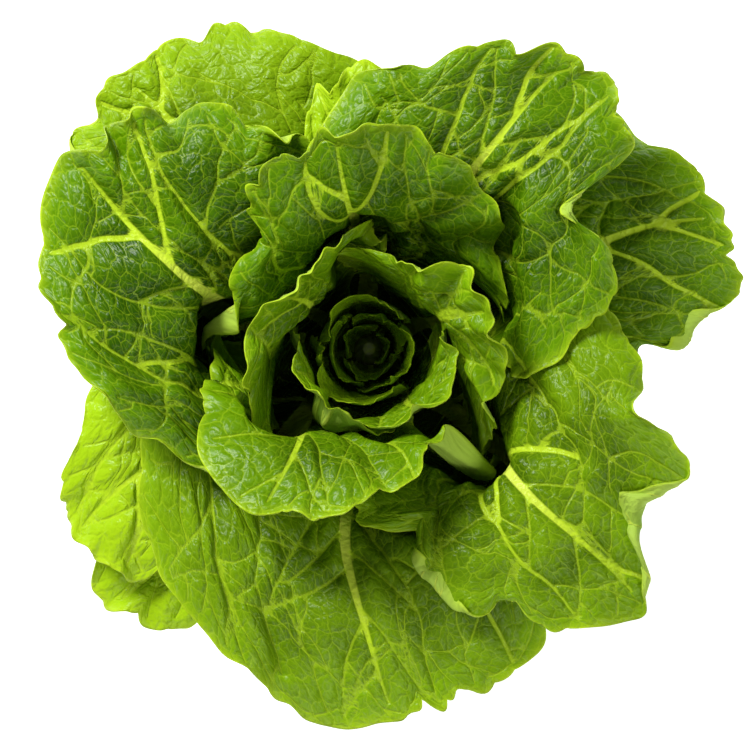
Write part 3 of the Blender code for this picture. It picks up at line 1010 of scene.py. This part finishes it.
def stem_finish(scene):
    """The stem's material: pale skin with streaks up it, browned in rings on the cut face."""
    colours = scene.lettuce_colours
    made, shader = principled("stem_finish")
    web = Web(made.node_tree)
    place = web.node("ShaderNodeTexCoord").outputs["Object"]
    x, y, z = web.parts(place)
    radius = web.math("SQRT", web.plus(web.times(x, x), web.times(y, y)))
    rings = web.math("SINE", web.plus(web.times(radius, 900.0),
                                      web.times(web.noise(place, 90.0), 6.0)))
    cut = web.smooth(z, 0.0006, 0.0016, 1.0, 0.0)
    drawn_out = web.node("ShaderNodeVectorMath", place, (260.0, 260.0, 30.0), operation="MULTIPLY").outputs[0]
    streaks = web.noise(drawn_out, 1.0, 3.0)
    skin = web.blend(web.smooth(streaks, 0.35, 0.7), colours.stem, colours.rib)
    face = web.blend(web.smooth(rings, -1.0, 1.0, 0.25, 0.75), colours.rib, colours.cut)
    web.put(shader.inputs["Base Color"], web.blend(cut, skin, face))
    web.put(shader.inputs["Roughness"], web.smooth(cut, 0.0, 1.0, 0.4, 0.7))
    web.put(shader.inputs["Normal"], web.bump(streaks, 0.0005))
    return made


# -------- operators


class LETTUCE_OT_stem(Operator):
    """Builds the stem"""

    bl_idname = "lettuce.stem"
    bl_label = "Stem"

    def execute(self, context):
        build_stem(stem_finish(context.scene))
        return {"FINISHED"}


class LeafRank:
    """Builds every leaf of a rank, laid from the inside out"""

    finish = "open_leaf"

    def execute(self, context):
        for leaf in LEAVES[self.rank]:
            build_leaf(leaf, context.scene.lettuce_sizes, leaf_finish(self.finish, context.scene))
        return {"FINISHED"}


class LETTUCE_OT_heart_leaves(LeafRank, Operator):
    """Builds the closed leaves of the heart"""

    bl_idname = "lettuce.heart_leaves"
    bl_label = "Heart Leaves"
    rank = "heart"
    finish = "young_leaf"


class LETTUCE_OT_inner_leaves(LeafRank, Operator):
    """Builds the upright leaves round the heart"""

    bl_idname = "lettuce.inner_leaves"
    bl_label = "Inner Leaves"
    rank = "inner"


class LETTUCE_OT_crown_leaves(LeafRank, Operator):
    """Builds the two tall leaves that roll outwards"""

    bl_idname = "lettuce.crown_leaves"
    bl_label = "Crown Leaves"
    rank = "crown"


class LETTUCE_OT_middle_leaves(LeafRank, Operator):
    """Builds the three large flared leaves"""

    bl_idname = "lettuce.middle_leaves"
    bl_label = "Middle Leaves"
    rank = "middle"


class LETTUCE_OT_outer_leaves(LeafRank, Operator):
    """Builds the outer leaves, down to the short ones at the base"""

    bl_idname = "lettuce.outer_leaves"
    bl_label = "Outer Leaves"
    rank = "outer"


def add_light(name, place, target, size, power):
    """A square soft light at a place, turned to a target."""
    data = bpy.data.lights.new(name, "AREA")
    data.size = size
    data.energy = power
    made = added(name, data)
    made.location = place
    aim = np.array(target) - np.array(place)
    flat = math.hypot(aim[0], aim[1])
    made.rotation_euler = (math.atan2(flat, -aim[2]), 0, math.atan2(aim[1], aim[0]) - math.pi / 2)


class LETTUCE_OT_stage(Operator):
    """Adds the floor, the lights and the camera"""

    bl_idname = "lettuce.stage"
    bl_label = "Stage"

    def execute(self, context):
        scene = context.scene
        stage = scene.lettuce_stage
        mesh = bpy.data.meshes.new("floor")
        corners = [(x * FLOOR_REACH, y * FLOOR_REACH, 0) for x, y in ((-1, -1), (1, -1), (1, 1), (-1, 1))]
        mesh.from_pydata(corners, [], [(0, 1, 2, 3)])
        floor = added("floor", mesh)
        paint, shader = principled("floor")
        shader.inputs["Base Color"].default_value = (stage.floor, stage.floor, stage.floor, 1)
        shader.inputs["Roughness"].default_value = 0.9
        shader.inputs["Emission Color"].default_value = (1, 1, 1, 1)
        shader.inputs["Emission Strength"].default_value = FLOOR_GLOW
        mesh.materials.append(paint)
        world = bpy.data.worlds.new("studio")
        world.use_nodes = True
        background = world.node_tree.nodes["Background"]
        background.inputs["Color"].default_value = (1, 1, 1, 1)
        background.inputs["Strength"].default_value = stage.sky
        scene.world = world
        low, high = (np.array(corner) for corner in CAD_BOX)
        middle = (low + high) / 2
        aim = (middle[0], middle[1], high[2] * 0.7)
        add_light("key", KEY_PLACE, aim, KEY_SIZE, stage.key)
        for name, place in FILL_PLACES.items():
            add_light(name, place, aim, FILL_SIZE, stage.fill)
        data = bpy.data.cameras.new("camera")
        data.sensor_width = SENSOR
        data.lens = LENS
        data.clip_start = 0.01
        camera = added("camera", data)
        camera.location = (CAMERA_X, CAMERA_Y, stage.height)
        scene.camera = camera
        scene.view_settings.view_transform = "Standard"
        scene.view_settings.look = "None"
        return {"FINISHED"}


class LETTUCE_PT_panel(Panel):
    """The sidebar panel of the lettuce's pieces"""

    bl_label = "Romaine Lettuce"
    bl_idname = "LETTUCE_PT_panel"
    bl_space_type = "VIEW_3D"
    bl_region_type = "UI"
    bl_category = "Lettuce"

    def draw(self, context):
        scene = context.scene
        for group in (scene.lettuce_sizes, scene.lettuce_colours, scene.lettuce_stage):
            box = self.layout.box()
            for key in group.bl_rna.properties.keys():
                if key not in ("rna_type", "name"):
                    box.prop(group, key)
        for step in STEPS:
            self.layout.operator(step.bl_idname)


STEPS = (
    LETTUCE_OT_stage,
    LETTUCE_OT_stem,
    LETTUCE_OT_heart_leaves,
    LETTUCE_OT_inner_leaves,
    LETTUCE_OT_crown_leaves,
    LETTUCE_OT_middle_leaves,
    LETTUCE_OT_outer_leaves,
)
CLASSES = (LettuceSizes, LettuceColours, LettuceStage, *STEPS, LETTUCE_PT_panel)


def register():
    """Makes the properties, operators and panel known."""
    for made in CLASSES:
        bpy.utils.register_class(made)
    bpy.types.Scene.lettuce_sizes = PointerProperty(type=LettuceSizes)
    bpy.types.Scene.lettuce_colours = PointerProperty(type=LettuceColours)
    bpy.types.Scene.lettuce_stage = PointerProperty(type=LettuceStage)


def unregister():
    """Takes them away again."""
    del bpy.types.Scene.lettuce_stage
    del bpy.types.Scene.lettuce_colours
    del bpy.types.Scene.lettuce_sizes
    for made in reversed(CLASSES):
        bpy.utils.unregister_class(made)


def main():
    """Registers everything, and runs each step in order."""
    register()
    for step in STEPS:
        category, operation = step.bl_idname.split(".")
        getattr(getattr(bpy.ops, category), operation)()
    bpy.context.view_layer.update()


if __name__ == "__main__":
    main()
